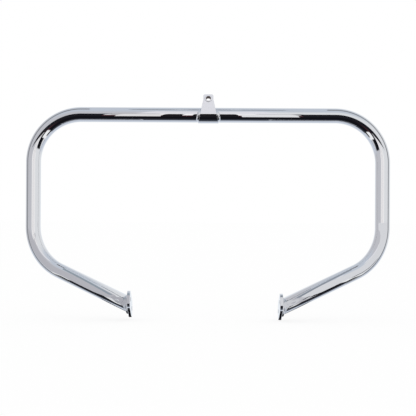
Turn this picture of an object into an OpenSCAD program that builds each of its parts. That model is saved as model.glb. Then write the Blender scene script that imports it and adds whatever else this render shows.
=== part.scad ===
// Engine guard for a cruiser motorcycle: one bent chrome tube, a formed top bracket
// with a spacer bush, and a slanted two-bolt flange welded to the end of each leg.
// Millimetres. +X is the guard's right, +Y points forward on the machine, +Z is up.
// The origin is the middle of the bush's rear end, where the bracket meets the frame.

/* [Tube] */
// Outside diameter of the tube
tube_od = 31.75; // [28:0.05:36]
// Wall thickness of the tube
tube_wall = 3; // [2:0.1:4]
// Radius of every bend, to the tube's centre line
bend_r = 102; // [80:1:115]

/* [Loop] */
// Overall width, outside to outside
loop_w = 776; // [700:1:860]
// Drop from the top bar's centre line to the corner where side and leg centre lines cross
side_drop = 306; // [270:1:350]
// Angle the tube turns through in each lower corner
lower_bend = 67.2; // [55:0.1:78]
// Turn of each lower bend about the side tube, which sweeps the legs rearward
leg_sweep = 18.3; // [0:0.1:28]
// Length of the right leg's centre line, from that corner to the flange
leg_len = 248.5; // [200:0.5:290]
// Length of the left leg's centre line, which ends a little sooner
left_leg_len = 237.5; // [200:0.5:290]

/* [Top bracket] */
// Thickness of the bracket's sheet
sheet_t = 3; // [2:0.1:4]
// Width of the saddle at its lower edge
saddle_w = 43; // [36:0.5:56]
// Angle that the saddle reaches below the tube's rearmost line
saddle_under = 70; // [40:1:80]
// Width of the tongue round its bolt hole
tongue_w = 21.5; // [20:0.5:28]
// Lean of the tongue, forward from upright
tongue_lean = 20; // [10:0.5:30]
// Height of the bolt hole's rear mouth above the top of the tube
hole_rise = 19.5; // [16:0.1:34]
// Sheet left between the hole's centre and the tongue's tip
tongue_tip = 9.7; // [9:0.1:16]
// Radius of the tongue's two corners
tongue_corner = 4; // [1:0.5:7]
// Distance below the hole's centre at which the tongue starts to widen
neck_drop = 2.5; // [0:0.5:6]

/* [Bush] */
// Outside diameter of the spacer bush
bush_od = 16; // [13:0.5:17.5]
// Bore of the bush, for a 3/8 inch or M10 bolt
bush_bore = 10.5; // [8:0.1:11.5]
// Length of the bush
bush_len = 12; // [6:0.5:18]
// How far the bush stands proud of the tongue's rear face
bush_proud = 1; // [0.8:0.1:3]
// Rounding of the bush's outer edges
bush_round = 0.8; // [0.2:0.1:0.8]

/* [Flanges] */
// Thickness of a flange
flange_t = 6.35; // [4:0.05:10]
// Length of a flange, tip to tip
flange_len = 88; // [82:0.5:110]
// Plate left beyond the tube's slanted end, across the flange
flange_rim = 0.85; // [0.5:0.05:5]
// Slant of a flange's long axis from upright, upper end rearward
flange_slant = 66; // [40:1:90]
// Distance between a flange's two bolt holes
bolt_spacing = 56; // [53:0.5:62]
// Diameter of the bolt holes, for a 5/16 inch or M8 bolt
bolt_hole = 9; // [7:0.1:10]
// Rounding of a flange's edges
flange_round = 1; // [0.3:0.1:2]

/* [Welds] */
// Radius of the weld beads along the saddle's edges
saddle_bead_r = 5; // [4.2:0.1:6]
// Height of those beads above the tube, at their middle
saddle_bead_high = 3; // [2:0.1:4]
// Angle above the tube's rearmost line at which those beads end
saddle_bead_top = 38; // [25:1:50]
// Radius of the weld bead round each flange joint
flange_bead_r = 3.6; // [2:0.1:5]

/* [Hidden] */
$fn = 96;

CHROME = [0.82, 0.84, 0.88];
CHROME_BRIGHT = [0.9, 0.91, 0.93];
CHROME_WELD = [0.7, 0.72, 0.76];

tube_r = tube_od / 2;
half_w = (loop_w - tube_od) / 2;
top_straight = half_w - bend_r;
lower_tangent = bend_r * tan(lower_bend / 2);
side_straight = side_drop - bend_r - lower_tangent;

// The right leg's direction
leg_dir = [
    -sin(lower_bend) * cos(leg_sweep),
    -sin(lower_bend) * sin(leg_sweep),
    -cos(lower_bend)
];
// The leg's end is cut by an upright plane, which gives an ellipse
end_stretch = 1 / abs(leg_dir.x);
end_turn = atan2(leg_dir.z, leg_dir.y);
// A leg is drawn this much too long, and then cut at the flange
leg_spare = tube_od;
// Where a lower bend meets straight tube, the bending die leaves a faint ridge
die_mark_high = 0.05;
die_mark_len = 2;

// The bracket's side view: the sheet hugs the tube, then leaves it along a tangent
saddle_r = tube_r + sheet_t;
lean_dir = [sin(tongue_lean), cos(tongue_lean)];
rear_dir = [-cos(tongue_lean), sin(tongue_lean)];
hole_height = tube_r + hole_rise;
hole_up = (hole_height - (saddle_r + bush_proud) * rear_dir.y) / lean_dir.y;
hole_centre = (saddle_r + bush_proud) * rear_dir + hole_up * lean_dir;
tongue_len = hole_up + tongue_tip;

// The bracket's rear view: a tongue that widens down to the saddle
saddle_low = -saddle_r * sin(saddle_under);
tip_height = saddle_r * rear_dir.y + tongue_len * lean_dir.y;
neck_height = hole_height - neck_drop;
flare = (saddle_w - tongue_w) / 2 / (neck_height - saddle_low);
edge_x = tongue_w / 2 + flare * neck_height;

// A saddle bead is a ring that rises out of the tube, and sinks back at either end
bead_crest = tube_r + saddle_bead_high - saddle_bead_r;
bead_end = tube_r - saddle_bead_r;
bead_half_span = (saddle_bead_top + saddle_under) / 2;
bead_offset = (pow(bead_crest, 2) - pow(bead_end, 2))
    / (2 * (bead_crest - bead_end * cos(bead_half_span)));

flange_w = tube_od * end_stretch + 2 * flange_rim;
flange_straight = flange_len - flange_w;

// The middle of a leg's slanted end, as it lies on the right
function leg_end(length) = [half_w, 0, -side_drop] + length * leg_dir;

module in_place() {
    translate([0, -hole_centre.x, -hole_centre.y])
    children();
}

module on_left() {
    mirror([1, 0, 0])
    children();
}

// A straight length of tube that starts at the origin and runs up the Z axis
module straight(length) {
    linear_extrude(height = length)
    tube_section();
}

// A bend that starts at the origin, heads up the Z axis and turns towards -X
module bend(angle) {
    translate([-bend_r, 0, 0])
    rotate([90, 0, 0])
    rotate_extrude(angle = angle, $fn = 192)
    translate([bend_r, 0])
    tube_section();
}

// Carries its children to the far end of such a bend
module after_bend(angle) {
    translate([-bend_r, 0, 0])
    rotate([0, -angle, 0])
    translate([bend_r, 0, 0])
    children();
}

module tube_section() {
    difference() {
        circle(r = tube_r);
        circle(r = tube_r - tube_wall);
    }
}

// A ridge round the tube at the origin, outside and inside, that fades out both ways
module die_mark() {
    bore = tube_r - tube_wall;
    rotate_extrude()
    polygon([
        [bore + die_mark_high, -die_mark_len],
        [tube_r - die_mark_high, -die_mark_len],
        [tube_r + die_mark_high, 0],
        [tube_r - die_mark_high, die_mark_len],
        [bore + die_mark_high, die_mark_len],
        [bore - die_mark_high, 0]
    ]);
}

// One side of the loop, from the end of the top bar's straight to past the flange
module half_loop(leg) {
    translate([top_straight, 0, 0])
    rotate([0, 90, 0])
    rotate([0, 0, 180]) {
        bend(90);
        after_bend(90) {
            straight(side_straight);
            translate([0, 0, side_straight])
            rotate([0, 0, -leg_sweep]) {
                die_mark();
                bend(lower_bend);
                after_bend(lower_bend) {
                    die_mark();
                    straight(leg - lower_tangent + leg_spare);
                }
            }
        }
    }
}

// Everything on the centre side of a right flange's outer face, near the leg's end
module past_flange(leg) {
    block = 4 * tube_od;
    translate(leg_end(leg))
    translate([-block, -block / 2, -block / 2])
    cube(block);
}

module trimmed_half_loop(leg) {
    difference() {
        half_loop(leg);
        past_flange(leg);
    }
}

module guard_tube() {
    color(CHROME)
    in_place() {
        rotate([0, 90, 0])
        translate([0, 0, -top_straight])
        straight(2 * top_straight);
        trimmed_half_loop(leg_len);
        on_left()
        trimmed_half_loop(left_leg_len);
    }
}

// Carries its children to the bracket's side view: +Z along the tube's axis, +X out
// to where the tongue leaves the tube, and +Y round the tube from there, downwards
module at_saddle() {
    rotate([180 - tongue_lean, 0, 0])
    rotate([90, 0, 90])
    children();
}

// The bent strip that the bracket is cut from: an arc round the tube and a tongue
module bent_strip() {
    strip_w = 2 * saddle_w;
    at_saddle()
    translate([0, 0, -strip_w / 2]) {
        rotate_extrude(angle = saddle_under + tongue_lean)
        translate([tube_r, 0])
        square([sheet_t, strip_w]);
        translate([tube_r, -tongue_len, 0])
        cube([sheet_t, tongue_len, strip_w]);
    }
}

module bracket_rear_view() {
    shoulder = tongue_w / 2;
    corner = shoulder - tongue_corner;
    foot = edge_x + flare * saddle_r;
    polygon([
        [-foot, -saddle_r],
        [foot, -saddle_r],
        [shoulder, neck_height],
        [shoulder, tip_height - tongue_corner],
        [corner, tip_height],
        [-corner, tip_height],
        [-shoulder, tip_height - tongue_corner],
        [-shoulder, neck_height]
    ]);
    for (side = [-1, 1]) {
        translate([side * corner, tip_height - tongue_corner])
        circle(r = tongue_corner);
    }
}

// The bracket before its hole is cut: the strip, trimmed to its rear view
module bent_sheet() {
    reach = 4 * saddle_r;
    intersection() {
        bent_strip();
        translate([0, reach / 2, 0])
        rotate([90, 0, 0])
        linear_extrude(height = reach)
        bracket_rear_view();
    }
}

// Carries its children to the hole's rear mouth, with +Z along the hole, rearward
module at_hole() {
    translate([0, hole_centre.x, hole_centre.y])
    rotate([90 - tongue_lean, 0, 0])
    children();
}

module top_bracket() {
    color(CHROME_BRIGHT)
    in_place()
    difference() {
        bent_sheet();
        at_hole()
        translate([0, 0, -bush_len])
        cylinder(d = bush_od, h = 2 * bush_len);
    }
}

module bracket_bush() {
    outer = bush_od / 2;
    bore = bush_bore / 2;
    color(CHROME)
    in_place()
    at_hole()
    translate([0, 0, -bush_len])
    rotate_extrude()
    union() {
        polygon([
            [bore, 0],
            [outer - bush_round, 0],
            [outer, bush_round],
            [outer, bush_len - bush_round],
            [outer - bush_round, bush_len],
            [bore, bush_len]
        ]);
        for (z = [bush_round, bush_len - bush_round]) {
            translate([outer - bush_round, z])
            circle(r = bush_round);
        }
    }
}

// The right bead: a ring that leans with the saddle's edge
module saddle_bead() {
    difference() {
        translate([edge_x + saddle_bead_r - saddle_bead_high, 0, 0])
        rotate([0, -atan(flare), 0])
        rotate([saddle_under - bead_half_span, 0, 0])
        translate([0, -bead_offset, 0])
        rotate([0, 90, 0])
        rotate_extrude()
        translate([bead_crest - bead_offset, 0])
        circle(r = saddle_bead_r);
        rotate([0, 90, 0])
        cylinder(r = tube_r, h = loop_w, center = true);
        bent_sheet();
    }
}

module bracket_weld_right() {
    color(CHROME_WELD)
    in_place()
    saddle_bead();
}

module bracket_weld_left() {
    color(CHROME_WELD)
    in_place()
    on_left()
    saddle_bead();
}

// Half of a flange's cross section, with its outer edges rounded
module half_section() {
    half = flange_w / 2;
    square([half - flange_round, flange_t]);
    translate([0, flange_round])
    square([half, flange_t - 2 * flange_round]);
    for (z = [flange_round, flange_t - flange_round]) {
        translate([half - flange_round, z])
        circle(r = flange_round);
    }
}

// A flange lying flat: long axis along X, the tube's side up
module flat_flange() {
    difference() {
        union() {
            for (side = [-1, 1]) {
                translate([side * flange_straight / 2, 0, 0])
                rotate_extrude()
                intersection() {
                    half_section();
                    square([flange_w, flange_t]);
                }
            }
            rotate([90, 0, 90])
            translate([0, 0, -flange_straight / 2])
            linear_extrude(height = flange_straight) {
                half_section();
                mirror([1, 0])
                half_section();
            }
        }
        for (side = [-1, 1]) {
            translate([side * bolt_spacing / 2, 0, -flange_t])
            cylinder(d = bolt_hole, h = 3 * flange_t);
        }
    }
}

// Carries its children to the end of a right leg, with +Z along +X
module at_leg_end(leg, turn) {
    translate(leg_end(leg))
    rotate([turn, 0, 0])
    rotate([0, 90, 0])
    children();
}

module flange(leg) {
    at_leg_end(leg, flange_slant)
    translate([0, 0, -flange_t])
    flat_flange();
}

module flange_right() {
    color(CHROME_BRIGHT)
    in_place()
    flange(leg_len);
}

module flange_left() {
    color(CHROME_BRIGHT)
    in_place()
    on_left()
    flange(left_leg_len);
}

// The flat top of a flange, which the weld bead may cover
module flange_land(leg, height) {
    land = flange_w - 2 * flange_round;
    at_leg_end(leg, flange_slant)
    linear_extrude(height = height) {
        square([flange_straight, land], center = true);
        for (side = [-1, 1]) {
            translate([side * flange_straight / 2, 0])
            circle(d = land);
        }
    }
}

// The bead on the right: an oval ring that follows the tube's slanted end
module flange_bead(leg) {
    difference() {
        intersection() {
            at_leg_end(leg, end_turn + 90)
            scale([end_stretch, 1, 1])
            rotate_extrude()
            translate([tube_r, 0])
            circle(r = flange_bead_r);
            flange_land(leg, 2 * flange_bead_r);
        }
        leg_rod(leg);
    }
}

// The end of a right leg as a solid rod
module leg_rod(leg) {
    translate(leg_end(leg))
    rotate([0, lower_bend, leg_sweep])
    cylinder(r = tube_r, h = leg, center = true);
}

module flange_weld_right() {
    color(CHROME_WELD)
    in_place()
    flange_bead(leg_len);
}

module flange_weld_left() {
    color(CHROME_WELD)
    in_place()
    on_left()
    flange_bead(left_leg_len);
}

guard_tube();
top_bracket();
bracket_bush();
bracket_weld_left();
bracket_weld_right();
flange_left();
flange_right();
flange_weld_left();
flange_weld_right();
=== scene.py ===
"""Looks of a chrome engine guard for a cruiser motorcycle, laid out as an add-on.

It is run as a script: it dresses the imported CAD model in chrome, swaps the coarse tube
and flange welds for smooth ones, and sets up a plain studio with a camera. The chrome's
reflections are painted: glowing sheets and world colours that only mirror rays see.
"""

import math
from typing import NamedTuple

import bmesh
import bpy
from bpy.props import FloatProperty, FloatVectorProperty, IntProperty, PointerProperty
from bpy.types import Operator, Panel, PropertyGroup
from mathutils import Matrix, Vector, noise


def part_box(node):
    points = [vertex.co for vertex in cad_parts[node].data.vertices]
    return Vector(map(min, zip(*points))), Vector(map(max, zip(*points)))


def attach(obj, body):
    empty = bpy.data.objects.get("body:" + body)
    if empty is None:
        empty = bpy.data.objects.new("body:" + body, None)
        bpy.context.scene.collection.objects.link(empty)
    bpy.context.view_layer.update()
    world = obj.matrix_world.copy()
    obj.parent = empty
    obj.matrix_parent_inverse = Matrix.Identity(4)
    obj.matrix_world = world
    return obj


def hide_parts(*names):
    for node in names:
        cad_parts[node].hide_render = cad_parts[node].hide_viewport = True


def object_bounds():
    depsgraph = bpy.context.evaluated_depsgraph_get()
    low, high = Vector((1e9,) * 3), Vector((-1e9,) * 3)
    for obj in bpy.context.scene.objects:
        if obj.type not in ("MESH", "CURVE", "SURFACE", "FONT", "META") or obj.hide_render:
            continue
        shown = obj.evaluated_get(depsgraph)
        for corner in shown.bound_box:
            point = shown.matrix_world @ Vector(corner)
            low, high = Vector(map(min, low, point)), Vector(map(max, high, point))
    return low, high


bl_info = {
    "name": "Chrome Engine Guard",
    "version": (1, 0, 0),
    "blender": (4, 5, 0),
    "location": "3D View > Sidebar > Engine Guard",
    "description": "Dresses a bent-tube engine guard in chrome and lights it in a plain studio",
    "category": "Object",
}

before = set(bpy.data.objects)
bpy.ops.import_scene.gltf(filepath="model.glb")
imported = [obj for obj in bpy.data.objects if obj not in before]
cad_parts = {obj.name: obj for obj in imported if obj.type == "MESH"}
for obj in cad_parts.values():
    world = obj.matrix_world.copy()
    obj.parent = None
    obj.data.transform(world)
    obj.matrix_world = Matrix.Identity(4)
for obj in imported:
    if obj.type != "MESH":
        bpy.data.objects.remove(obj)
CAD_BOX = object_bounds()
TUBE_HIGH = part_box("guard_tube")[1]

LEFT, RIGHT = -1, 1
SIDE_NAMES = {LEFT: "left", RIGHT: "right"}
FLANGE_BOXES = {side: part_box(f"flange_{name}") for side, name in SIDE_NAMES.items()}


class GuardTubeSizes(PropertyGroup):
    """Sizes of the bent tube, as the CAD model has them."""

    diameter: FloatProperty(
        name="Diameter", description="Outside diameter of the tube", default=0.03175, subtype="DISTANCE"
    )
    wall: FloatProperty(
        name="Wall", description="Thickness of the tube's wall", default=0.003, subtype="DISTANCE"
    )
    bend_radius: FloatProperty(
        name="Bend radius",
        description="Radius of each bend's centre line",
        default=0.102,
        subtype="DISTANCE",
    )
    side_drop: FloatProperty(
        name="Side drop",
        description="From the top bar's centre line down to where side and leg centre lines cross",
        default=0.306,
        subtype="DISTANCE",
    )
    lower_bend: FloatProperty(
        name="Lower bend",
        description="Angle of each lower bend",
        default=math.radians(67.2),
        subtype="ANGLE",
    )
    leg_sweep: FloatProperty(
        name="Leg sweep",
        description="Turn of the legs rearward",
        default=math.radians(18.3),
        subtype="ANGLE",
    )
    ring_points: IntProperty(name="Ring points", description="Points round the tube", default=96)
    bend_step: FloatProperty(
        name="Bend step",
        description="Turn between two rings of a bend",
        default=math.radians(1.2),
        subtype="ANGLE",
    )


class GuardFittingSizes(PropertyGroup):
    """Sizes of the flange plates and of the bush in the bracket's tongue."""

    plate_rim: FloatProperty(
        name="Plate rim",
        description="How far a flange plate stands past the tube on each of its long sides",
        default=0.00085,
        subtype="DISTANCE",
    )
    plate_round: FloatProperty(
        name="Plate rounding",
        description="Strip along a flange plate's long edges that a bead leaves free",
        default=0.001,
        subtype="DISTANCE",
    )
    plate_slant: FloatProperty(
        name="Plate slant",
        description="Lean of a flange plate's long axis from upright",
        default=math.radians(66),
        subtype="ANGLE",
    )
    tongue_lean: FloatProperty(
        name="Tongue lean",
        description="Lean of the bracket's tongue from upright",
        default=math.radians(20),
        subtype="ANGLE",
    )
    bore_radius: FloatProperty(
        name="Bore radius", description="Radius of the bush's bore", default=0.00525, subtype="DISTANCE"
    )


class GuardWeldSizes(PropertyGroup):
    """Sizes of the flange welds and of the ripples on them."""

    bead_radius: FloatProperty(
        name="Bead radius",
        description="Radius of the bead's round section",
        default=0.0036,
        subtype="DISTANCE",
    )
    ripple_pitch: FloatProperty(
        name="Ripple pitch",
        description="Distance from one ripple to the next",
        default=0.0016,
        subtype="DISTANCE",
    )
    ripple_depth: FloatProperty(
        name="Ripple depth",
        description="Depth of the groove between ripples",
        default=0.00028,
        subtype="DISTANCE",
    )
    bead_rings: IntProperty(name="Bead rings", description="Rings of points along a bead", default=260)
    ring_points: IntProperty(name="Ring points", description="Points round a bead's section", default=24)


class GuardChromeLook(PropertyGroup):
    """Colour and polish of the plating, and the bare steel in the bush, painted near black with shade."""

    plating: FloatVectorProperty(
        name="Plating",
        description="Colour that chrome reflects head on",
        default=(0.885, 0.888, 0.895),
        subtype="COLOR",
    )
    haze: FloatProperty(name="Haze", description="Least roughness of the plating", default=0.03)
    weld_haze: FloatProperty(
        name="Weld haze", description="Least roughness of the plated welds", default=0.05
    )
    wave_height: FloatProperty(
        name="Wave height",
        description="Height of the polisher's slow waves in the tube",
        default=0.00006,
        subtype="DISTANCE",
    )
    # The bore's near-black colour is bare steel with painted shade in the hole
    bore_steel_and_shade: FloatVectorProperty(
        name="Bore",
        description="Colour of the bush's bare bore",
        default=(0.05, 0.04, 0.035),
        subtype="COLOR",
    )
    bore_brown: FloatVectorProperty(
        name="Bore's brown",
        description="Colour of the brown film in the bore",
        default=(0.16, 0.1, 0.07),
        subtype="COLOR",
    )


class GuardStudio(PropertyGroup):
    """The camera's place and the studio round the guard, with the glowing sheets that paint the chrome's
    reflections.
    """

    distance: FloatProperty(
        name="Distance", description="From the camera to the top bar", default=2.5, subtype="DISTANCE"
    )
    drop: FloatProperty(
        name="Drop",
        description="Height of the top bar in the camera's own frame",
        default=0.1979,
        subtype="DISTANCE",
    )
    sideways: FloatProperty(
        name="Sideways",
        description="Guard's place across the camera's frame",
        default=0.0007,
        subtype="DISTANCE",
    )
    tilt: FloatProperty(
        name="Tilt", description="Camera's turn up or down", default=math.radians(-0.32), subtype="ANGLE"
    )
    roll: FloatProperty(
        name="Roll",
        description="Camera's turn about its own view",
        default=math.radians(0.297),
        subtype="ANGLE",
    )
    lens: FloatProperty(
        name="Lens", description="Focal length in millimetres on a 36 mm sensor", default=101.42
    )
    floor_gap: FloatProperty(
        name="Floor gap",
        description="Air between the guard and the floor",
        default=0.0005,
        subtype="DISTANCE",
    )
    # The front wall is glowing panels that paint the chrome's reflections
    wall: FloatProperty(
        name="Front wall",
        description="From the guard to the mirrored front wall",
        default=2.4,
        subtype="DISTANCE",
    )
    # The dark flags are glowing ribbons that paint dark reflected lines along the side tubes
    flag_away: FloatProperty(
        name="Flag distance",
        description="From a side tube out to its dark flag",
        default=0.25,
        subtype="DISTANCE",
    )
    flag_width: FloatProperty(
        name="Flag width", description="Width of each dark flag", default=0.09, subtype="DISTANCE"
    )
    flag_colour: FloatVectorProperty(
        name="Flag colour",
        description="Light of the dark flags",
        default=(0.24, 0.25, 0.27),
        subtype="COLOR",
    )


class GuardSettings(PropertyGroup):
    """All the settings of the guard, as the panel shows them."""

    tube: PointerProperty(type=GuardTubeSizes)
    fitting: PointerProperty(type=GuardFittingSizes)
    weld: PointerProperty(type=GuardWeldSizes)
    chrome: PointerProperty(type=GuardChromeLook)
    studio: PointerProperty(type=GuardStudio)


def settings():
    return bpy.context.scene.engine_guard


# Where the tube runs


def bar_centre():
    """The middle of the top bar."""
    radius = settings().tube.diameter / 2
    return Vector((0, TUBE_HIGH.y - radius, TUBE_HIGH.z - radius))


def half_width():
    """From the guard's middle to a side tube's centre line."""
    return TUBE_HIGH.x - settings().tube.diameter / 2


def leg_direction(side):
    """The way a leg runs, from the lower bend to its flange."""
    tube = settings().tube
    inward = math.sin(tube.lower_bend)
    return Vector(
        (
            -side * inward * math.cos(tube.leg_sweep),
            -inward * math.sin(tube.leg_sweep),
            -math.cos(tube.lower_bend),
        )
    )


def flange_face(side):
    """Where a flange's outer face stands along X; the leg is cut there."""
    low, high = FLANGE_BOXES[side]
    return high.x if side == RIGHT else low.x


def leg_end(side):
    """The middle of a leg's slanted end, on the flange's outer face."""
    corner = bar_centre() + Vector((side * half_width(), 0, -settings().tube.side_drop))
    heading = leg_direction(side)
    return corner + (flange_face(side) - corner.x) / heading.x * heading


def arc(start, heading, towards, angle):
    """Points and headings of a bend that leaves start along heading and turns towards."""
    tube = settings().tube
    radius = tube.bend_radius
    count = max(2, round(angle / tube.bend_step))
    centre = start + radius * towards
    for i in range(1, count + 1):
        turn = angle * i / count
        yield (
            centre - radius * math.cos(turn) * towards + radius * math.sin(turn) * heading,
            math.cos(turn) * heading + math.sin(turn) * towards,
        )


def half_line(side):
    """Points and headings of one half's centre line, from the top bar's middle to the flange."""
    tube = settings().tube
    out, down = Vector((side, 0, 0)), Vector((0, 0, -1))
    inward = Vector((-side * math.cos(tube.leg_sweep), -math.sin(tube.leg_sweep), 0))
    middle = bar_centre()
    bend_start = middle + (half_width() - tube.bend_radius) * out
    corner = middle + half_width() * out + tube.side_drop * down
    side_end = corner - tube.bend_radius * math.tan(tube.lower_bend / 2) * down
    line = [(middle, out), (bend_start, out)]
    line += arc(bend_start, out, down, math.pi / 2)
    line.append((side_end, down))
    line += arc(side_end, down, inward, tube.lower_bend)
    line.append((leg_end(side), leg_direction(side)))
    return line


def whole_line():
    """The tube's centre line from the left flange to the right one."""
    left = [(place, -heading) for place, heading in reversed(half_line(LEFT)[1:])]
    return left + half_line(RIGHT)


# Meshes


def ring_round(line, radius, points):
    """One ring of points for each place on the line, carried along it without twist."""
    across = Vector((0, 1, 0))
    rings = []
    for place, heading in line:
        across = (across - across.dot(heading) * heading).normalized()
        upward = heading.cross(across)
        rings.append(
            [
                place
                + radius * math.cos(math.tau * i / points) * across
                + radius * math.sin(math.tau * i / points) * upward
                for i in range(points)
            ]
        )
    return rings


def cut_at(ring, heading, x):
    """Slides a ring's points along the leg until they lie in the flange's face."""
    return [p + (x - p.x) / heading.x * heading for p in ring]


def skin(mesh, rings, looped=False, inside=False):
    """Joins rings of equal length with four-sided faces and returns the rings' vertices."""
    rows = [[mesh.verts.new(p) for p in ring] for ring in rings]
    pairs = list(zip(rows, rows[1:]))
    if looped:
        pairs.append((rows[-1], rows[0]))
    for low, high in pairs:
        for i in range(len(low)):
            j = (i + 1) % len(low)
            corners = (low[i], low[j], high[j], high[i])
            mesh.faces.new(reversed(corners) if inside else corners)
    return rows


def add_object(name, mesh, material):
    """Puts an object made of the mesh into the scene."""
    data = bpy.data.meshes.new(name)
    mesh.to_mesh(data)
    mesh.free()
    data.materials.append(material)
    thing = bpy.data.objects.new(name, data)
    bpy.context.scene.collection.objects.link(thing)
    return thing


def finish_piece(name, mesh, material, slot, *nodes):
    """Makes a smooth piece of the mesh, hangs it on the guard, and hides the CAD nodes it takes the place
    of.
    """
    bmesh.ops.recalc_face_normals(mesh, faces=mesh.faces)
    piece = add_object(name, mesh, material)
    for polygon in piece.data.polygons:
        polygon.use_smooth = True
    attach(piece, "root")
    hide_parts(*nodes)


# Shader helpers


def new_material(name):
    material = bpy.data.materials.new(name)
    material.use_nodes = True
    return material


def maths(tree, operation, *values):
    """A maths node on sockets or plain numbers; gives its output."""
    node = tree.nodes.new("ShaderNodeMath")
    node.operation = operation
    for socket, value in zip(node.inputs, values):
        if isinstance(value, bpy.types.NodeSocket):
            tree.links.new(value, socket)
        else:
            socket.default_value = value
    return node.outputs["Value"]


def ramp(tree, value, low, high):
    """0 up to low and 1 from high, with a smooth climb between; low may be the larger."""
    node = tree.nodes.new("ShaderNodeMapRange")
    node.interpolation_type = "SMOOTHSTEP"
    node.inputs["From Min"].default_value = low
    node.inputs["From Max"].default_value = high
    tree.links.new(value, node.inputs["Value"])
    return node.outputs["Result"]


def all_of(tree, *masks):
    """The product of masks."""
    whole = masks[0]
    for mask in masks[1:]:
        whole = maths(tree, "MULTIPLY", whole, mask)
    return whole


def painted(tree, under, colour, mask):
    """Lays a colour over another one where the mask says."""
    node = tree.nodes.new("ShaderNodeMix")
    node.data_type = "RGBA"
    tree.links.new(mask, node.inputs["Factor"])
    for socket, value in ((node.inputs["A"], under), (node.inputs["B"], colour)):
        if isinstance(value, bpy.types.NodeSocket):
            tree.links.new(value, socket)
        else:
            socket.default_value = (*value, 1.0)
    return node.outputs["Result"]


def either_shader(tree, mask, under, over):
    """The shader over where the mask is 1, and the one under where it is 0."""
    pick = tree.nodes.new("ShaderNodeMixShader")
    tree.links.new(mask, pick.inputs["Fac"])
    tree.links.new(under, pick.inputs[1])
    tree.links.new(over, pick.inputs[2])
    return pick.outputs["Shader"]


def mottle(tree, scale, detail):
    """A noise node over the object's own coordinates, with scale features a metre."""
    place = tree.nodes.new("ShaderNodeTexCoord")
    mottled = tree.nodes.new("ShaderNodeTexNoise")
    mottled.inputs["Scale"].default_value = scale
    mottled.inputs["Detail"].default_value = detail
    tree.links.new(place.outputs["Object"], mottled.inputs["Vector"])
    return mottled


def bump(tree, height, texture):
    """A bump node over a texture, height metres deep."""
    node = tree.nodes.new("ShaderNodeBump")
    node.inputs["Strength"].default_value = 1.0
    node.inputs["Distance"].default_value = height
    tree.links.new(texture.outputs["Fac"], node.inputs["Height"])
    return node


# Chrome

# The haze is deepest, by this factor, where its patches' noise is past the end of its range
HAZE_SPREAD = 2.2
HAZE_RANGE = (0.35, 0.75)
HAZE_PATCHES_PER_METRE = 38.0
HAZE_PATCH_ROUGHNESS = 0.62
TUBE_WAVE_SIZE = 0.03
BEAD_WAVE_HEIGHT, BEAD_WAVE_SIZE = 0.00004, 0.004
SADDLE_WELD_WAVE_HEIGHT, SADDLE_WELD_WAVE_SIZE = 0.00006, 0.003
FITTING_WAVE_HEIGHT, FITTING_WAVE_SIZE = 0.00004, 0.02
SHEET_EDGE_RADIUS = 0.0005
EDGE_SAMPLES = 8
GRAINS_PER_METRE = 900.0
WELD_GRAIN_HEIGHT = 0.00001

# The bore's bare steel, painted near black with the hole's shade: how far it reaches past the bore's wall,
# and its brown rust film and dullness
BORE_MARGIN = 0.0002
BROWN_SPOTS_PER_METRE = 700.0
BROWN_RANGE = (0.4, 0.62)
BORE_DULLNESS = 0.4


def chrome_material(name, haze, wave_height, wave_size, grain_height=0.0, edge=0.0):
    """Mirror chrome: slow waves from the polisher, faint haze in patches, and rounded edges."""
    material = new_material(name)
    tree = material.node_tree
    shader = tree.nodes["Principled BSDF"]
    shader.inputs["Metallic"].default_value = 1.0
    shader.inputs["Base Color"].default_value = (*settings().chrome.plating, 1.0)

    patches = mottle(tree, HAZE_PATCHES_PER_METRE, detail=5.0)
    patches.inputs["Roughness"].default_value = HAZE_PATCH_ROUGHNESS
    dull = tree.nodes.new("ShaderNodeMapRange")
    dull.inputs["From Min"].default_value = HAZE_RANGE[0]
    dull.inputs["From Max"].default_value = HAZE_RANGE[1]
    dull.inputs["To Min"].default_value = haze
    dull.inputs["To Max"].default_value = haze * HAZE_SPREAD
    tree.links.new(patches.outputs["Fac"], dull.inputs["Value"])
    tree.links.new(dull.outputs["Result"], shader.inputs["Roughness"])

    surface = bump(tree, wave_height, mottle(tree, 1.0 / wave_size, detail=1.0))
    if edge:
        rounded = tree.nodes.new("ShaderNodeBevel")
        rounded.samples = EDGE_SAMPLES
        rounded.inputs["Radius"].default_value = edge
        tree.links.new(rounded.outputs["Normal"], surface.inputs["Normal"])
    if grain_height:
        grain = bump(tree, grain_height, mottle(tree, GRAINS_PER_METRE, detail=3.0))
        tree.links.new(surface.outputs["Normal"], grain.inputs["Normal"])
        surface = grain
    tree.links.new(surface.outputs["Normal"], shader.inputs["Normal"])
    return material


def shaded_bare_bore(material):
    """Leaves the bush's bore without plating and paints it near black, bare steel with painted shade; its
    axis passes through the origin.
    """
    look, fitting = settings().chrome, settings().fitting
    tree = material.node_tree
    shader = tree.nodes["Principled BSDF"]
    place = tree.nodes.new("ShaderNodeTexCoord")
    off_axis = tree.nodes.new("ShaderNodeVectorMath")
    off_axis.operation = "CROSS_PRODUCT"
    off_axis.inputs[1].default_value = (0, -math.cos(fitting.tongue_lean), math.sin(fitting.tongue_lean))
    tree.links.new(place.outputs["Object"], off_axis.inputs[0])
    away = tree.nodes.new("ShaderNodeVectorMath")
    away.operation = "LENGTH"
    tree.links.new(off_axis.outputs["Vector"], away.inputs[0])
    inside = maths(tree, "LESS_THAN", away.outputs["Value"], fitting.bore_radius + BORE_MARGIN)

    spots = mottle(tree, BROWN_SPOTS_PER_METRE, detail=4.0)
    brown = ramp(tree, spots.outputs["Fac"], *BROWN_RANGE)
    # Painted shade: the bore is near black, with brown rust spots over it
    steel = painted(tree, look.bore_steel_and_shade, look.bore_brown, brown)
    tree.links.new(painted(tree, look.plating, steel, inside), shader.inputs["Base Color"])
    haze = shader.inputs["Roughness"].links[0].from_socket
    dulled = maths(tree, "ADD", haze, maths(tree, "MULTIPLY", inside, BORE_DULLNESS))
    tree.links.new(dulled, shader.inputs["Roughness"])


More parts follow.
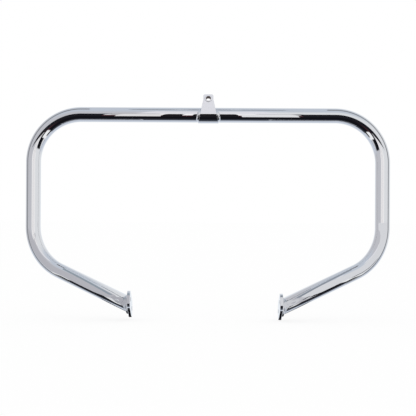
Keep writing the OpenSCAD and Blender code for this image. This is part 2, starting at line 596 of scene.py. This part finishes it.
class GUARD_OT_bend_tube(Operator):
    """Sweeps the bent tube, outside and inside, in place of its coarse solid"""

    bl_idname = "guard.bend_tube"
    bl_label = "Bend the Tube"

    def execute(self, context):
        tube, look = settings().tube, settings().chrome
        line = whole_line()
        mesh = bmesh.new()
        ends = []
        for radius, inside in ((tube.diameter / 2, False), (tube.diameter / 2 - tube.wall, True)):
            rings = ring_round(line, radius, tube.ring_points)
            rings[0] = cut_at(rings[0], leg_direction(LEFT), flange_face(LEFT))
            rings[-1] = cut_at(rings[-1], leg_direction(RIGHT), flange_face(RIGHT))
            rows = skin(mesh, rings, inside=inside)
            ends.append((rows[0], rows[-1]))
        for outer, inner in zip(*ends):
            for i in range(len(outer)):
                j = (i + 1) % len(outer)
                mesh.faces.new((outer[i], outer[j], inner[j], inner[i]))
        chrome = chrome_material("polished_tube_chrome", look.haze, look.wave_height, TUBE_WAVE_SIZE)
        finish_piece("guard_tube_polished", mesh, chrome, "tube_chrome", "guard_tube")
        return {"FINISHED"}


# In pitches: how far a ripple's middle runs ahead of its edges, and how unevenly ripples follow each other
RIPPLE_BOW = 0.9
RIPPLE_UNEVENNESS = 0.3
# The noise behind the unevenness is read along a straight lane beside its own grid lines
UNEVEN_SPOTS_PER_METRE = 300
UNEVEN_LANE = (0.7, 0.2)


def ripple(length, lean):
    """Depth of the ripples at a place along the bead; lean bows each ripple back at its edges."""
    weld = settings().weld
    phase = (length + RIPPLE_BOW * weld.ripple_pitch * lean * lean) / weld.ripple_pitch
    uneven = RIPPLE_UNEVENNESS * noise.noise(Vector((length * UNEVEN_SPOTS_PER_METRE, *UNEVEN_LANE)))
    swell = math.sqrt(abs(math.sin(math.pi * (phase + uneven))))
    return weld.ripple_depth * (1 - swell)


def bead_round(side):
    """Rings of a bead that follows the slanted ellipse of a leg's end and stays on the flange plate."""
    tube, fitting, weld = settings().tube, settings().fitting, settings().weld
    end, heading = leg_end(side), leg_direction(side)
    minor = tube.diameter / 2
    major = minor / abs(heading.x)
    major_axis = Vector((0, heading.y, heading.z)).normalized()
    minor_axis = Vector((0, -major_axis.z, major_axis.y))
    plate_across = Vector((0, math.cos(fitting.plate_slant), math.sin(fitting.plate_slant)))
    land = major + fitting.plate_rim - fitting.plate_round
    length = 0.0
    before = None
    for step in range(weld.bead_rings):
        turn = math.tau * step / weld.bead_rings
        spoke = major * math.cos(turn) * major_axis + minor * math.sin(turn) * minor_axis
        outward = (math.cos(turn) / major * major_axis + math.sin(turn) / minor * minor_axis).normalized()
        length += (spoke - before).length if before else 0.0
        before = spoke
        ring = []
        for i in range(weld.ring_points):
            lean = math.tau * i / weld.ring_points
            reach = weld.bead_radius - ripple(length, math.sin(lean - math.pi / 4))
            point = spoke + reach * (math.cos(lean) * outward + side * math.sin(lean) * Vector((1, 0, 0)))
            wide = point.dot(plate_across)
            point += (max(-land, min(land, wide)) - wide) * plate_across
            ring.append(end + point)
        yield ring


class GUARD_OT_weld_flanges(Operator):
    """Lays a rippled weld bead round the tube at each flange"""

    bl_idname = "guard.weld_flanges"
    bl_label = "Weld the Flanges"

    def execute(self, context):
        haze = settings().chrome.weld_haze
        chrome = chrome_material(
            "rippled_weld_chrome", haze, BEAD_WAVE_HEIGHT, BEAD_WAVE_SIZE, grain_height=WELD_GRAIN_HEIGHT
        )
        for side, label in SIDE_NAMES.items():
            mesh = bmesh.new()
            skin(mesh, bead_round(side), looped=True)
            node = f"flange_weld_{label}"
            finish_piece(f"{node}_bead", mesh, chrome, "weld_chrome", node)
        return {"FINISHED"}


class GUARD_OT_plate_fittings(Operator):
    """Plates the bracket, its bush, the saddle's welds and the flanges"""

    bl_idname = "guard.plate_fittings"
    bl_label = "Plate the Fittings"

    def execute(self, context):
        look = settings().chrome
        polish = (look.haze, FITTING_WAVE_HEIGHT, FITTING_WAVE_SIZE)
        sheet = chrome_material("bracket_sheet_chrome", *polish, edge=SHEET_EDGE_RADIUS)
        bush = chrome_material("bush_chrome", *polish)
        shaded_bare_bore(bush)
        plate = chrome_material("flange_plate_chrome", *polish)
        weld = chrome_material(
            "saddle_weld_chrome",
            look.weld_haze,
            SADDLE_WELD_WAVE_HEIGHT,
            SADDLE_WELD_WAVE_SIZE,
            grain_height=WELD_GRAIN_HEIGHT,
        )
        finishes = {
            "top_bracket": sheet,
            "bracket_bush": bush,
            "bracket_weld_left": weld,
            "bracket_weld_right": weld,
            "flange_left": plate,
            "flange_right": plate,
        }
        for node, material in finishes.items():
            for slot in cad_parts[node].material_slots:
                slot.material = material
        return {"FINISHED"}


# Painted reflections far off, by direction, which only the chrome mirrors: pale screens all round and
# paper below

FRONT_LEFT = (0.56, 0.565, 0.605)
FRONT_RIGHT = (0.77, 0.785, 0.81)
BACKDROP = (0.84, 0.88, 0.93)
OVERHEAD = (0.56, 0.61, 0.69)
BENEATH = (0.6, 0.65, 0.74)
FLOOR_PAPER = (0.95, 0.96, 0.97)
# The aisle colours are painted dark reflections below and ahead of the guard
AISLE_NEAR = (0.055, 0.062, 0.08)
DARKEST_REFLECTION = (0.007, 0.007, 0.01)
AISLE_FAR = (0.06, 0.022, 0.027)

# Where one colour gives way to the next, along one part of the mirrored direction
LEFT_TO_RIGHT = (-0.06, 0.06)
LEVEL_TO_OVERHEAD = (0.55, 0.9)
LEVEL_TO_BENEATH = (-0.1, -0.35)
FRONT_TO_BENEATH = (0.3, 0.1)
SIDES_TO_BACKDROP = (0.55, 0.98)
NEAR_TO_MIDDLE_AISLE = (0.25, 0.5)
MIDDLE_TO_FAR_AISLE = (1.8, 2.8)
# Keeps the floor's measures finite at the horizon
LEAST_FALL = 0.02


class FloorPatch(NamedTuple):
    """A patch of the floor in the painted reflections, measured in heights of the mirror over it.

    Each pair says where the patch has faded out and from where it is whole.
    """

    outer: tuple
    near: tuple
    far: tuple


# Patches of the painted reflection below the horizon: dark beyond, white paper, a dark gap and the dark
# aisle
DARK_BEYOND = FloorPatch(outer=(3.6, 3.2), near=(0.9, 1.2), far=(8.0, 7.0))
WHITE_PAPER = FloorPatch(outer=(1.5, 1.4), near=(0.0, 0.2), far=(3.0, 2.7))
PAPER_GAP = FloorPatch(outer=(1.3, 1.15), near=(0.12, 0.2), far=(0.75, 0.65))
DARK_AISLE = FloorPatch(outer=(0.92, 0.84), near=(-0.15, 0.0), far=(8.0, 7.0))


def painted_reflection_colours(tree):
    """Painted reflections far off, which only the chrome sees: pale screens all round, white paper below
    and a dark aisle in it.
    """
    place = tree.nodes.new("ShaderNodeTexCoord")
    split = tree.nodes.new("ShaderNodeSeparateXYZ")
    tree.links.new(place.outputs["Generated"], split.inputs["Vector"])
    x, y, z = split.outputs
    front = maths(tree, "MULTIPLY", y, -1.0)
    below = maths(tree, "MAXIMUM", maths(tree, "MULTIPLY", z, -1.0), LEAST_FALL)
    across = maths(tree, "DIVIDE", maths(tree, "ABSOLUTE", x), below)
    ahead = maths(tree, "DIVIDE", front, below)

    def patch(edges):
        return all_of(
            tree,
            ramp(tree, across, *edges.outer),
            ramp(tree, ahead, *edges.near),
            ramp(tree, ahead, *edges.far),
        )

    # Painted reflection: each colour is laid only on what the chrome mirrors
    rear_reflection_mask = all_of(tree, ramp(tree, z, *LEVEL_TO_BENEATH), ramp(tree, front, *FRONT_TO_BENEATH))
    colour = painted(tree, FRONT_LEFT, FRONT_RIGHT, ramp(tree, x, *LEFT_TO_RIGHT))
    colour = painted(tree, colour, OVERHEAD, ramp(tree, z, *LEVEL_TO_OVERHEAD))
    colour = painted(tree, colour, BENEATH, rear_reflection_mask)
    colour = painted(tree, colour, BACKDROP, ramp(tree, y, *SIDES_TO_BACKDROP))
    colour = painted(tree, colour, DARKEST_REFLECTION, patch(DARK_BEYOND))
    colour = painted(tree, colour, FLOOR_PAPER, patch(WHITE_PAPER))
    colour = painted(tree, colour, DARKEST_REFLECTION, patch(PAPER_GAP))
    dark = painted(tree, AISLE_NEAR, DARKEST_REFLECTION, ramp(tree, ahead, *NEAR_TO_MIDDLE_AISLE))
    dark = painted(tree, dark, AISLE_FAR, ramp(tree, ahead, *MIDDLE_TO_FAR_AISLE))
    return painted(tree, colour, dark, patch(DARK_AISLE))


# Painted reflections close by: glowing sheets that only the chrome sees, placed in metres from the top
# bar's middle


class WallPanel(NamedTuple):
    """An upright glowing panel of the front wall, a painted reflection."""

    left: float
    right: float
    low: float
    high: float
    colour: tuple


# Painted reflections: glowing panels that the chrome mirrors as a pale wall ahead, with a bright slot and
# greyer edges
FRONT_WALL = {
    "skirting": WallPanel(-1.1, 1.1, -0.28, 0.12, (0.93, 0.92, 0.93)),
    "shelf": WallPanel(-1.1, 1.1, 0.2, 0.45, (0.56, 0.56, 0.59)),
    "slot_left_edge": WallPanel(-0.4, -0.2, -0.28, 0.7, (0.5, 0.49, 0.5)),
    "slot_right_edge": WallPanel(0.2, 0.4, -0.28, 0.7, (0.55, 0.55, 0.57)),
    "strip": WallPanel(-0.3, 0.3, 0.7, 3.4, (0.8, 0.8, 0.85)),
    "slot": WallPanel(-0.2, 0.2, -0.34, 0.7, (1.0, 0.98, 1.0)),
}
PANEL_STEP = 0.01


class BarCard(NamedTuple):
    """A glowing card that rises before the top bar, between two distances from it; it paints a reflection
    in the bar.
    """

    left: float
    right: float
    near: float
    far: float
    colour: tuple


BAR_CARD_SLOPE = math.radians(20)
BAR_CARD_DROP = 0.08
# Painted reflections in the top bar: the lit cards paint pale bands, the near-black ones dark bands
BAR_CARDS = {
    "outer_left_card": BarCard(-0.75, -0.236, 0.09, 0.5, (0.012, 0.012, 0.016)),
    "lit_left_card": BarCard(-0.206, -0.105, 0.1, 0.4, (0.8, 0.79, 0.8)),
    "middle_left_card": BarCard(-0.103, -0.058, 0.09, 0.5, (0.012, 0.011, 0.014)),
    "middle_card": BarCard(-0.035, 0.068, 0.09, 0.5, (0.012, 0.011, 0.014)),
    "lit_right_card": BarCard(0.074, 0.2, 0.088, 0.4, (0.82, 0.82, 0.84)),
    "outer_right_card": BarCard(0.21, 0.75, 0.09, 0.5, (0.012, 0.012, 0.016)),
}


class LegScreen(NamedTuple):
    """The wide glowing screen that falls away before a leg, painting its reflection in the leg."""

    slope: float
    colour: tuple


# Painted reflections: the grey each leg mirrors from its screen
LEG_SCREENS = {
    LEFT: LegScreen(math.radians(46), (0.5, 0.5, 0.54)),
    RIGHT: LegScreen(math.radians(35), (0.73, 0.74, 0.77)),
}
# Both screens start from one line under the bar; near and far are measured from it down the slope
LEG_SCREEN_DROP = 0.13
LEG_SCREEN_NEAR, LEG_SCREEN_FAR = 0.17, 4.0
LEG_SCREEN_WIDTH = 4.0


class LegStrip(NamedTuple):
    """The glowing strip over a leg, which paints a line in the leg's reflection; its edges are turns about
    the leg from the camera's direction.
    """

    low: float
    high: float
    colour: tuple


# Painted reflections: the grey line along each leg
LEG_STRIPS = {
    LEFT: LegStrip(math.radians(36), math.radians(60), (0.3, 0.35, 0.4)),
    RIGHT: LegStrip(math.radians(52), math.radians(74), (0.28, 0.31, 0.36)),
}
# From the leg's centre line out to its strip, and the strip's reach past the leg's upper end
LEG_STRIP_AWAY = 0.1
LEG_STRIP_OVERLAP = 0.05

# The near-black card behind each flange's foot paints the dark reflection in the flange's underside. It
# leans back from a line behind and below the bar, by so many metres for each metre down. Its sides are
# measured outward from the flange's face, and its ends down from that line.
FLANGE_CARD_BEHIND, FLANGE_CARD_DROP = 0.02, 0.3
FLANGE_CARD_LEAN = 0.268
FLANGE_CARD_SIDES = (-0.05, 0.04)
FLANGE_CARD_ENDS = (0.15, 0.8)


def glow(name, colour, one_way):
    """A sheet's own light; where it is one-way, the sheet is clear from behind."""
    material = new_material(name)
    tree = material.node_tree
    tree.nodes.remove(tree.nodes["Principled BSDF"])
    light = tree.nodes.new("ShaderNodeEmission")
    light.inputs["Color"].default_value = (*colour, 1.0)
    shown = light.outputs["Emission"]
    if one_way:
        geometry = tree.nodes.new("ShaderNodeNewGeometry")
        clear = tree.nodes.new("ShaderNodeBsdfTransparent")
        shown = either_shader(tree, geometry.outputs["Backfacing"], shown, clear.outputs["BSDF"])
    tree.links.new(shown, tree.nodes["Material Output"].inputs["Surface"])
    return material


def painted_reflection_sheet(name, rows, colour, seen_from=None):
    """A glowing sheet that only chrome sees, a painted reflection; with seen_from, only chrome on that
    side of it.
    """
    if seen_from is not None:
        (near_left, near_right), (_, far_right) = rows
        normal = (near_right - near_left).cross(far_right - near_left)
        if normal.dot(seen_from - near_left) < 0:
            rows = [row[::-1] for row in rows]
    mesh = bmesh.new()
    corners = [[mesh.verts.new(corner) for corner in row] for row in rows]
    for near, far in zip(corners, corners[1:]):
        for i in range(len(near) - 1):
            mesh.faces.new((near[i], near[i + 1], far[i + 1], far[i]))
    sheet = add_object(name, mesh, glow(f"{name}_light", colour, seen_from is not None))
    sheet.visible_camera = False
    sheet.visible_diffuse = False
    sheet.visible_transmission = False
    sheet.visible_shadow = False


class GUARD_OT_light_studio(Operator):
    """Builds the floor, the studio's light, the painted reflections and the camera"""

    bl_idname = "guard.light_studio"
    bl_label = "Light the Studio"

    floor_reach = 30
    floor_colour = (0.97, 0.97, 0.97, 1)
    # The share of the floor that glows plain white to the camera; the rest takes the shadow
    floor_glow = 0.8

    def floor(self):
        """White paper under the guard, which the chrome doesn't mirror."""
        low = CAD_BOX[0].z - settings().studio.floor_gap
        mesh = bmesh.new()
        bmesh.ops.create_grid(mesh, x_segments=1, y_segments=1, size=self.floor_reach)
        bmesh.ops.translate(mesh, verts=mesh.verts, vec=(0, 0, low))
        paper = new_material("studio_floor_paper")
        tree = paper.node_tree
        shader = tree.nodes["Principled BSDF"]
        shader.inputs["Base Color"].default_value = self.floor_colour
        shader.inputs["Roughness"].default_value = 1.0
        shader.inputs["Specular IOR Level"].default_value = 0.0
        white = tree.nodes.new("ShaderNodeEmission")
        white.inputs["Color"].default_value = (1, 1, 1, 1)
        path = tree.nodes.new("ShaderNodeLightPath")
        seen = maths(tree, "MULTIPLY", path.outputs["Is Camera Ray"], self.floor_glow)
        shown = either_shader(tree, seen, shader.outputs["BSDF"], white.outputs["Emission"])
        tree.links.new(shown, tree.nodes["Material Output"].inputs["Surface"])
        floor = add_object("studio_floor", mesh, paper)
        floor.visible_glossy = False

    def front_wall(self):
        """Glowing panels before the guard that paint the chrome's reflections, each a step nearer than the
        one before it in the list.
        """
        middle = bar_centre()
        for step, (name, panel) in enumerate(FRONT_WALL.items()):
            ahead = settings().studio.wall - PANEL_STEP * step
            rows = [
                [middle + Vector((x, -ahead, z)) for x in (panel.left, panel.right)]
                for z in (panel.low, panel.high)
            ]
            painted_reflection_sheet(f"studio_{name}", rows, panel.colour)

    def leg_screens(self):
        """Glowing screens that fall away before the legs and paint their reflections; from above, where
        the top bar is, they are clear.
        """
        start = bar_centre() + Vector((0, 0, -LEG_SCREEN_DROP))
        for side, (slope, colour) in LEG_SCREENS.items():
            down = Vector((0, -math.cos(slope), -math.sin(slope)))
            rows = [
                [start + along * down + Vector((side * x, 0, 0)) for x in (0.0, LEG_SCREEN_WIDTH)]
                for along in (LEG_SCREEN_NEAR, LEG_SCREEN_FAR)
            ]
            painted_reflection_sheet(f"studio_leg_screen_{SIDE_NAMES[side]}", rows, colour, leg_end(side))

    def leg_strips(self):
        """A grey glowing strip close over each leg, which paints a thin reflected line along the leg."""
        studio = settings().studio
        lens = bar_centre() - Vector((0, studio.distance, studio.drop))
        for side, (low, high, colour) in LEG_STRIPS.items():
            heading = leg_direction(side)
            ends = (half_line(side)[-2][0] - LEG_STRIP_OVERLAP * heading, leg_end(side))
            to_camera = (lens - (ends[0] + ends[1]) / 2).normalized()
            away = [
                LEG_STRIP_AWAY * (Matrix.Rotation(side * turn, 3, heading) @ to_camera)
                for turn in (low, high)
            ]
            rows = [[end + edge for edge in away] for end in ends]
            painted_reflection_sheet(f"studio_leg_line_{SIDE_NAMES[side]}", rows, colour, ends[1])

    def bar_cards(self):
        """Glowing cards that paint light and dark reflections in turn in the top bar; only the bar looks
        down on them.
        """
        rise = math.tan(BAR_CARD_SLOPE)
        start = bar_centre() + Vector((0, 0, -BAR_CARD_DROP))
        for name, card in BAR_CARDS.items():
            rows = [
                [start + Vector((x, -ahead, rise * ahead)) for x in (card.left, card.right)]
                for ahead in (card.near, card.far)
            ]
            painted_reflection_sheet(f"studio_{name}", rows, card.colour, bar_centre())

    def flange_cards(self):
        """A near-black glowing card behind each flange's foot, which paints a dark reflection in the
        flange's underside, the only part that mirrors it.
        """
        for side, label in SIDE_NAMES.items():
            start = bar_centre() + Vector((flange_face(side), FLANGE_CARD_BEHIND, -FLANGE_CARD_DROP))
            rows = [
                [start + Vector((side * x, FLANGE_CARD_LEAN * down, -down)) for x in FLANGE_CARD_SIDES]
                for down in FLANGE_CARD_ENDS
            ]
            painted_reflection_sheet(f"studio_flange_card_{label}", rows, DARKEST_REFLECTION, leg_end(side))

    def side_flags(self):
        """A dark glowing ribbon out beside each half, which paints the dark reflected line along the
        tube's outer edge.
        """
        studio = settings().studio
        for side, label in SIDE_NAMES.items():
            bends_and_side = half_line(side)[2:-1]
            ribbon = [
                place + studio.flag_away * side * heading.cross(Vector((0, 1, 0)))
                for place, heading in bends_and_side
            ]
            rows = [
                [p + Vector((0, y, 0)) for p in ribbon]
                for y in (-studio.flag_width / 2, studio.flag_width / 2)
            ]
            painted_reflection_sheet(f"studio_flag_{label}", rows, studio.flag_colour)

    def world(self):
        """Plain white for all that isn't mirrored, and the far studio, a painted reflection, for what is.
        """
        world = bpy.data.worlds.new("studio_world")
        bpy.context.scene.world = world
        world.use_nodes = True
        tree = world.node_tree
        tree.nodes.clear()
        output = tree.nodes.new("ShaderNodeOutputWorld")
        plain = tree.nodes.new("ShaderNodeBackground")
        plain.inputs["Color"].default_value = (1, 1, 1, 1)
        mirrored = tree.nodes.new("ShaderNodeBackground")
        tree.links.new(painted_reflection_colours(tree), mirrored.inputs["Color"])
        path = tree.nodes.new("ShaderNodeLightPath")
        shown = either_shader(
            tree,
            path.outputs["Is Glossy Ray"],
            plain.outputs["Background"],
            mirrored.outputs["Background"],
        )
        tree.links.new(shown, output.inputs["Surface"])

    def camera(self):
        """The camera where the photograph was taken from."""
        studio = settings().studio
        turn = Matrix.Rotation(studio.roll, 3, "Y") @ Matrix.Rotation(studio.tilt, 3, "X")
        back = turn.transposed()
        data = bpy.data.cameras.new("studio_camera")
        data.sensor_width = 36
        data.lens = studio.lens
        camera = bpy.data.objects.new("studio_camera", data)
        bpy.context.scene.collection.objects.link(camera)
        place = bar_centre() - back @ Vector((studio.sideways, studio.distance, studio.drop))
        upright = Matrix.Rotation(math.pi / 2, 3, "X")
        camera.matrix_world = Matrix.Translation(place) @ (back @ upright).to_4x4()
        bpy.context.scene.camera = camera

    def execute(self, context):
        self.floor()
        self.front_wall()
        self.leg_screens()
        self.leg_strips()
        self.bar_cards()
        self.flange_cards()
        self.side_flags()
        self.world()
        self.camera()
        context.scene.view_settings.view_transform = "Standard"
        return {"FINISHED"}


class GUARD_PT_panel(Panel):
    """Lists the guard's steps and settings"""

    bl_label = "Engine Guard"
    bl_idname = "GUARD_PT_panel"
    bl_space_type = "VIEW_3D"
    bl_region_type = "UI"
    bl_category = "Engine Guard"

    def draw(self, context):
        for step in STEPS:
            self.layout.operator(step.bl_idname)
        guard = settings()
        for group in (guard.tube, guard.fitting, guard.weld, guard.chrome, guard.studio):
            box = self.layout.box()
            for setting in group.bl_rna.properties:
                if setting.identifier not in {"rna_type", "name"}:
                    box.prop(group, setting.identifier)


STEPS = (GUARD_OT_bend_tube, GUARD_OT_weld_flanges, GUARD_OT_plate_fittings, GUARD_OT_light_studio)
CLASSES = (
    GuardTubeSizes,
    GuardFittingSizes,
    GuardWeldSizes,
    GuardChromeLook,
    GuardStudio,
    GuardSettings,
    *STEPS,
    GUARD_PT_panel,
)


def register():
    for kind in CLASSES:
        bpy.utils.register_class(kind)
    bpy.types.Scene.engine_guard = PointerProperty(type=GuardSettings)


def unregister():
    del bpy.types.Scene.engine_guard
    for kind in reversed(CLASSES):
        bpy.utils.unregister_class(kind)


def main():
    register()
    bpy.ops.guard.bend_tube()
    bpy.ops.guard.weld_flanges()
    bpy.ops.guard.plate_fittings()
    bpy.ops.guard.light_studio()


if __name__ == "__main__":
    main()
